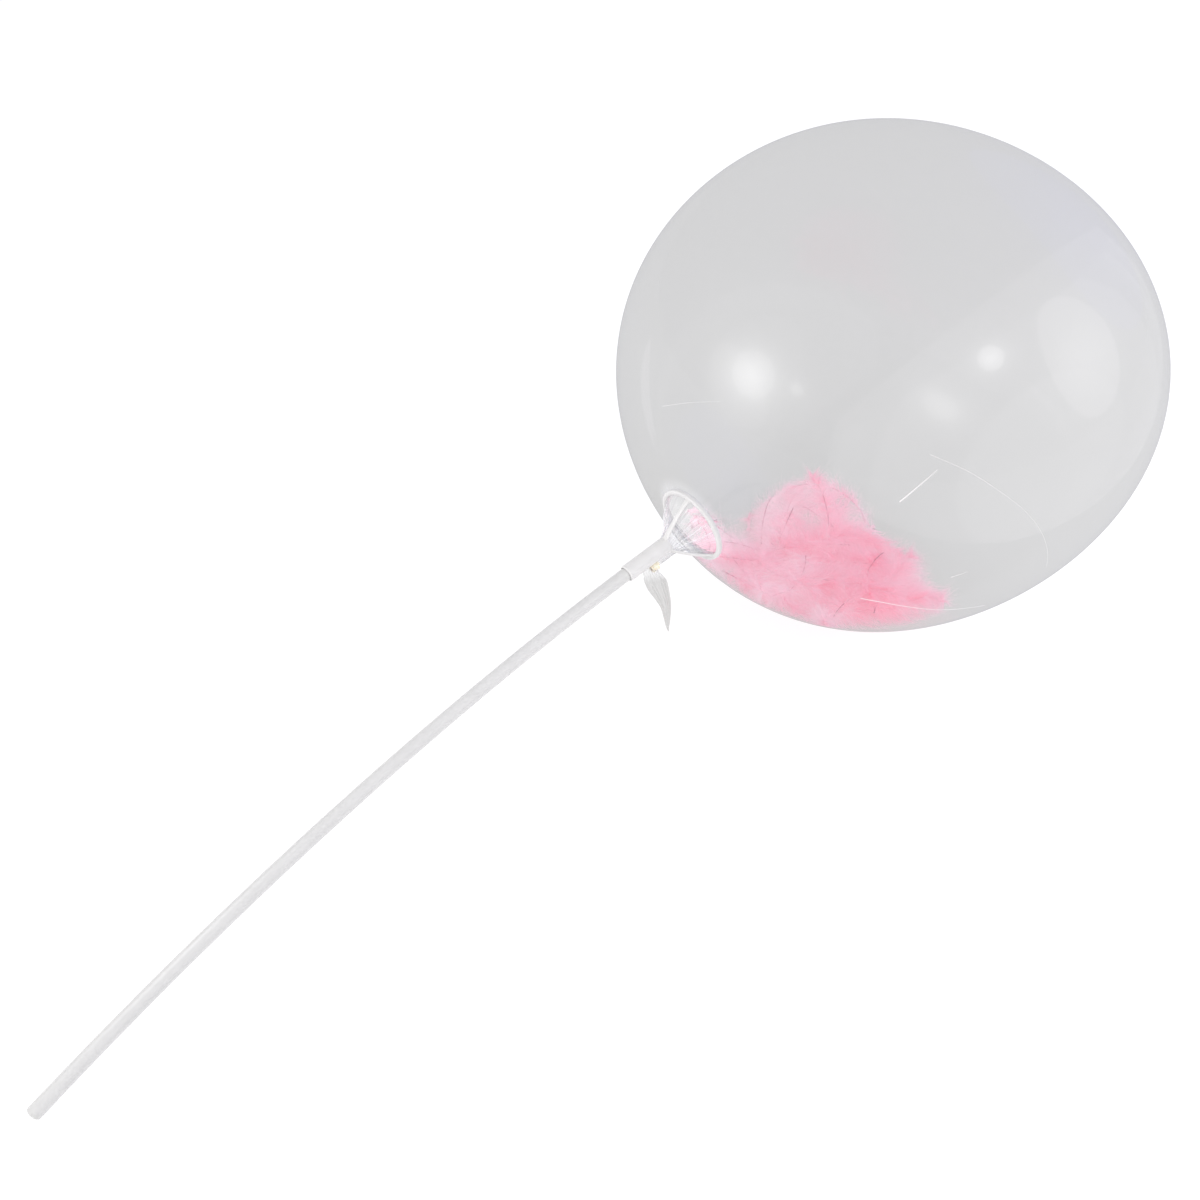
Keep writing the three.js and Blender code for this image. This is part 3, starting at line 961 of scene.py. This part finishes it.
def settle(points):
    # down that leaves the heap is drawn in to it, and stays a little proud
    points = points.copy()
    lobes = list(heap["lobes"].values())
    aparts = np.array([np.linalg.norm(inLobe(points, lobe), axis=1) for lobe in lobes])
    nearest = np.argmin(aparts, axis=0)
    for index, lobe in enumerate(lobes):
        apart = np.maximum(aparts[index], 1e-6)
        drawn = np.where((apart > 1) & (nearest == index), (1 + (apart - 1) * heap["stray"]) / apart, 1)
        centre = np.array(lobe["centre"])
        points[:, :2] = centre + (points[:, :2] - centre) * drawn[:, None]
    ground = floorOf(points)
    top = ground + heap["footing"] + heapHeight(points)
    above = np.maximum(points[:, 2] - top, 0)
    points[:, 2] = np.maximum(points[:, 2] - above * (1 - heap["stray"]), ground + heap["floorGap"])
    return insideFilm(points, heap["filmGap"])


def quillPath(start, heading, length, bend, layer, lift, random):
    share = np.linspace(0, 1, heap["quillStations"])
    angle = heading + bend * (share - 0.3)
    step = length / (heap["quillStations"] - 1)
    flat = np.array(start) + np.cumsum(np.stack([np.cos(angle), np.sin(angle)], -1) * step, axis=0)
    height = floorOf(flat) + heap["quillHeight"] + layer * heapHeight(flat) + lift * share**1.6
    height = height + heap["quillWave"] * np.sin(share * 5 + random.uniform(0, 6.28))
    return insideFilm(np.concatenate([flat, height[:, None]], 1), heap["quillGap"])


def barbRibbons(quill, count, length, random):
    # ribbons that spring from both sides of the quill, in clumps, and droop
    knots = np.linspace(0, 1, len(quill))
    root = random.uniform(0.02, 1.0, count) ** 0.9
    base = smoothCurve(knots, quill, root)
    way = unit(smoothCurve(knots, np.gradient(quill, axis=0), root))
    side = unit(np.cross(way, (0.0, 0.0, 1.0)))
    over = np.cross(side, way)
    hand = random.choice((-1.0, 1.0), count)
    clump = (np.floor(root * heap["clumps"]) * 2 + (hand > 0)).astype(int)
    drift = random.normal(0, 1, (heap["clumps"] * 2 + 4, 3))[clump]
    lean = np.radians(random.uniform(*heap["lean"], count)) * (1 - 0.5 * root**2)
    rise = random.normal(*heap["rise"], count) + 0.3 * drift[:, 0]
    aim = unit(
        way * np.cos(lean)[:, None]
        + side * (hand * np.sin(lean))[:, None]
        + over * rise[:, None]
        + 0.25 * drift
    )
    profile = 0.45 + 0.55 * np.sin(math.pi * np.clip(root * 0.8 + 0.14, 0, 1)) ** 0.7
    reach = length * profile * random.uniform(*heap["unevenness"], count)
    reach = reach * np.where(random.uniform(0, 1, count) < heap["wisps"], 1.5, 1.0)
    curl = unit(random.normal(0, 1, (count, 3)) + drift * 1.3) * random.uniform(*heap["curl"], count)[:, None]
    stations = heap["barbStations"]
    points = np.zeros((count, stations, 2, 3))
    across = unit(np.cross(aim, random.normal(0, 1, (count, 3))))
    phase = random.uniform(0, 6.28, count)
    for station in range(stations):
        share = station / (stations - 1)
        centre = base + aim * (reach * share)[:, None] + curl * (reach * share**2)[:, None]
        centre[:, 2] -= reach * heap["droop"] * share**2
        centre = centre + across * (heap["crinkle"] * share * np.sin(9 * share + phase))[:, None]
        width = heap["barbWidth"] * (1 - 0.85 * share)
        points[:, station, 0] = centre - across * width / 2
        points[:, station, 1] = centre + across * width / 2
    start = np.arange(count)[:, None] * stations * 2
    corner = start + np.arange(stations - 1)[None, :] * 2
    faces = np.stack([corner, corner + 1, corner + 3, corner + 2], -1).reshape(-1, 4)
    share = np.repeat(np.tile(np.linspace(0, 1, stations), count), 2)
    return points.reshape(-1, 3), faces.tolist(), share


def featherPiece(name, quill, count, length, lot, keep, random):
    ribs, faces, share = barbRibbons(quill, count, length, random)
    ribs = keep(ribs)
    shaftRings = sweepRings(keep(quill), lambda along: circle(heap["quillRadius"] * (1 - 0.75 * along), 7))
    shaft, shaftFaces = closedTube(shaftRings)
    start = len(ribs)
    joined = np.concatenate([ribs, shaft])
    piece = meshPiece(name, joined, faces + [[c + start for c in face] for face in shaftFaces], down)
    piece.data.materials.append(pinkQuill)
    index = np.zeros(len(piece.data.polygons), np.int32)
    index[len(faces):] = 1
    piece.data.polygons.foreach_set("material_index", index)
    for key, values in (
        ("along", np.concatenate([share, np.zeros(len(shaft))])),
        ("lot", np.full(len(joined), lot)),
    ):
        layer = piece.data.attributes.new(key, "FLOAT", "POINT")
        layer.data.foreach_set("value", values.astype(np.float32))


def heapFeathers():
    random = np.random.RandomState(heap["seed"])
    for lobeName, lobe in heap["lobes"].items():
        for number in range(lobe["feathers"]):
            spread = heap["spread"] * math.sqrt((number + 0.5) / lobe["feathers"])
            turn = number * heap["goldenTurn"] + 0.4
            length = random.uniform(*heap["quillLength"])
            heading = turn + random.uniform(1.2, 2.2) * random.choice((-1, 1))
            out = np.array((math.cos(turn), math.sin(turn)))
            middle = np.array(lobe["centre"]) + spread * np.array(lobe["reach"]) * out
            start = middle - 0.45 * length * np.array((math.cos(heading), math.sin(heading)))
            quill = quillPath(
                start, heading, length,
                bend=random.uniform(-1.1, 1.1),
                layer=random.uniform(0.2, 0.95),
                lift=random.uniform(0, 0.010),
                random=random,
            )
            lot = lobe["paleness"] * random.uniform(0.3, 1.3)
            name = f"feather_{lobeName}_{number + 1:02d}"
            featherPiece(name, quill, lobe["barbs"], heap["barbLength"], lot, settle, random)
    for name, lone in loneFeathers.items():
        quill = quillPath(
            lone["start"], lone["heading"], lone["length"],
            bend=lone["bend"],
            layer=0.7,
            lift=lone["lift"],
            random=random,
        )
        featherPiece(
            name, quill, heap["loneBarbs"], lone["barb"], heap["lonePaleness"],
            lambda points: insideFilm(points, heap["filmGap"]), random,
        )


heapFeathers()
print("feathers made")


# Loose quill and fine strands that cling to the film's inner side

strands = {
    "loose_quill": {
        "radius": 0.0008,
        "points": ((0.128, -0.003, 0.023), (0.156, -0.008, 0.039), (0.181, -0.014, 0.056)),
    },
    "strand_far": {
        "radius": 0.0002,
        "points": (
            (0.190, 0.008, 0.064), (0.191, -0.048, 0.070), (0.178, -0.103, 0.078), (0.158, -0.147, 0.088),
            (0.128, -0.185, 0.099), (0.092, -0.214, 0.110), (0.052, -0.234, 0.123),
        ),
    },
    "strand_near": {
        "radius": 0.00028,
        "points": (
            (-0.203, -0.174, 0.193), (-0.188, -0.189, 0.190), (-0.170, -0.204, 0.184),
            (-0.153, -0.215, 0.178), (-0.133, -0.225, 0.172), (-0.113, -0.234, 0.168),
            (-0.088, -0.242, 0.162),
        ),
    },
    "strand_short": {
        "radius": 0.00024,
        "points": ((0.049, -0.138, 0.036), (0.056, -0.144, 0.040), (0.063, -0.149, 0.045)),
    },
    "strand_by_ring": {
        "radius": 0.00014,
        "points": ((-0.257, 0.052, 0.314), (-0.256, 0.017, 0.336), (-0.251, -0.015, 0.352)),
    },
}


strandShape = {"stations": 60, "sides": 8, "taper": 0.7, "filmGap": 0.0004}


def strandPiece(name, radius, points):
    knots = np.linspace(0, 1, len(points))
    path = smoothCurve(knots, points, np.linspace(0, 1, strandShape["stations"]))
    path = insideFilm(path, radius + strandShape["filmGap"])
    rings = sweepRings(path, lambda share: circle(
        radius * (1 - strandShape["taper"] * share), strandShape["sides"]
    ))
    meshPiece(name, *closedTube(rings), whiteQuill)


for name, strand in strands.items():
    strandPiece(name, strand["radius"], strand["points"])
print("strands made")


# Floor, light and camera

studio = {
    "floorSize": 60.0,
    "floorDrop": 0.0006,
    "floorColour": (0.26, 0.26, 0.26, 1),
    "floorShade": (0.24, 0.24, 0.24, 1),
    "floorGlow": 0.80,
    "roomGlow": 0.85,
    "sidePanel": {  # a tall white panel that stands on the floor to the camera's right
        "from": (-2.6, -1.00),
        "to": (5.5, 0.12),
        "heights": (0.45, 0.7, 1.0, 1.4),
        "glow": 1.55,
    },
    "lamps": {  # each fades from its rim to the share of its size given by core
        "left_disc": {
            "at": (-1.54, 0.47, 0.93), "size": (0.56, 0.56), "core": 0.86, "glow": 14.5,
        },
        "left_halo": {
            "at": (-1.50, 0.46, 0.80), "size": (1.1, 1.8), "core": 0.2, "glow": 3.4,
        },
        "small_disc": {
            "at": (-0.076, -0.887, 1.128), "size": (0.19, 0.19), "core": 0.4, "glow": 31.0,
        },
        "right_panel": {
            "at": (0.86, -1.29, 1.01), "size": (0.90, 1.30), "core": 0.08, "glow": 20.0,
        },
        "right_veil": {
            "at": (1.00, -1.25, 1.05), "size": (1.9, 2.2), "core": 0.2, "glow": 1.0,
        },
        "window": {
            "at": (1.42, -0.195, 1.005), "size": (1.7, 1.3), "core": 0.45, "glow": 8.0,
            "colour": (0.02, 0.05, 1.0),
        },
    },
    "fadeSteps": 7,
    "aim": (0, 0, 0.25),
    "floorStrip": {  # a strip of light that lies on the floor behind, to the camera's left
        "from": (-0.40, 0.35),
        "to": (-0.85, 2.4),
        "width": 0.16,
        "height": 0.004,
        "shares": (1, 0.8, 0.6, 0.4),
        "glow": 3.0,
    },
}
view = {
    "lens": 30.0,
    "sensor": 36.0,
    "near": 0.02,
    "at": (-0.81303, -0.52525, 0.86717),
    "elevation": 45.650,  # degrees
    "turn": -39.652,
    "roll": -0.085,
}


def makeFloor():
    finish = newFinish("pale_floor")
    mottle = finish.noise(3.0, 3.0, 0.5)
    body = finish.node("ShaderNodeBsdfPrincipled", {}, {
        "Base Color": finish.blend(mottle, studio["floorColour"], studio["floorShade"]),
        "Roughness": 0.9,
        "Specular IOR Level": 0.1,
        "Emission Color": (1, 1, 1, 1),
        "Emission Strength": studio["floorGlow"],
    })
    half = studio["floorSize"] / 2
    corners = [(-half, -half), (half, -half), (half, half), (-half, half)]
    mesh = bpy.data.meshes.new("floor")
    mesh.from_pydata([(x, y, -studio["floorDrop"]) for x, y in corners], [], [(0, 1, 2, 3)])
    floor = bpy.data.objects.new("floor", mesh)
    mesh.materials.append(finish.end(body))
    bpy.context.scene.collection.objects.link(floor)


def areaLamp(name, shape, size, glow, pose, colour=(1, 1, 1)):
    light = bpy.data.lights.new(name, "AREA")
    light.shape = shape
    light.size, light.size_y = size
    area = size[0] * size[1] * (math.pi / 4 if shape == "ELLIPSE" else 1)
    light.energy = glow * area * math.pi
    light.color = colour
    lamp = bpy.data.objects.new(name, light)
    lamp.matrix_world = pose
    lamp.visible_camera = False
    bpy.context.scene.collection.objects.link(lamp)


def makeLamp(name, at, size, core, glow, colour=(1, 1, 1)):
    # nested ellipses, so that the reflection fades at its rim
    shares = np.linspace(1, core, studio["fadeSteps"])
    place = Vector(at)
    turn = (place - Vector(studio["aim"])).to_track_quat("Z", "Y")
    for number, share in enumerate(shares):
        pose = turn.to_matrix().to_4x4()
        pose.translation = place
        spread = (size[0] * share, size[1] * share)
        part = glow * (number + 1) / sum(range(len(shares) + 1))
        areaLamp(f"{name}_{number}", "ELLIPSE", spread, part, pose, colour)


def makeSidePanel():
    # nested sheets that share their lower edge, so that the panel fades upwards
    panel = studio["sidePanel"]
    start, end = Vector((*panel["from"], 0)), Vector((*panel["to"], 0))
    along = (end - start).normalized()
    away = along.cross(Vector((0, 0, 1))).normalized()
    for number, height in enumerate(panel["heights"]):
        pose = Matrix((along, away.cross(along), away)).transposed().to_4x4()
        pose.translation = (start + end) / 2 + Vector((0, 0, height / 2))
        spread = ((end - start).length, height)
        areaLamp(f"side_panel_{number}", "RECTANGLE", spread, panel["glow"] / len(panel["heights"]), pose)


def makeFloorStrip():
    # nested ellipses that face upwards
    strip = studio["floorStrip"]
    start, end = Vector((*strip["from"], strip["height"])), Vector((*strip["to"], strip["height"]))
    along = (end - start).normalized()
    upward = Vector((0, 0, 1))
    for number, share in enumerate(strip["shares"]):
        pose = Matrix((along, along.cross(upward), -upward)).transposed().to_4x4()
        pose.translation = (start + end) / 2
        spread = ((end - start).length * share, strip["width"] * share)
        areaLamp(f"floor_strip_{number}", "ELLIPSE", spread, strip["glow"] / len(strip["shares"]), pose)


def makeWorld():
    world = bpy.data.worlds.new("studio")
    finish = Finish(world)
    sockets = {"Color": (1, 1, 1, 1), "Strength": studio["roomGlow"]}
    finish.end(finish.node("ShaderNodeBackground", {}, sockets), "ShaderNodeOutputWorld")
    bpy.context.scene.world = world


def makeCamera():
    camera = bpy.data.cameras.new("camera")
    camera.lens = view["lens"]
    camera.sensor_width = view["sensor"]
    camera.clip_start = view["near"]
    elevation, turn, roll = (math.radians(view[key]) for key in ("elevation", "turn", "roll"))
    back = Vector((
        math.sin(turn) * math.cos(elevation),
        -math.cos(turn) * math.cos(elevation),
        math.sin(elevation),
    ))
    right = (-back).cross(Vector((0, 0, 1))).normalized()
    up = right.cross(-back)
    right, up = (
        right * math.cos(roll) + up * math.sin(roll),
        up * math.cos(roll) - right * math.sin(roll),
    )
    holder = bpy.data.objects.new("camera", camera)
    pose = Matrix((right, up, back)).transposed().to_4x4()
    pose.translation = Vector(view["at"])
    holder.matrix_world = pose
    bpy.context.scene.collection.objects.link(holder)
    bpy.context.scene.camera = holder


makeFloor()
for name, lamp in studio["lamps"].items():
    makeLamp(name, **lamp)
makeSidePanel()
makeFloorStrip()
makeWorld()
makeCamera()
bpy.context.scene.view_settings.view_transform = "Standard"
print("studio made")
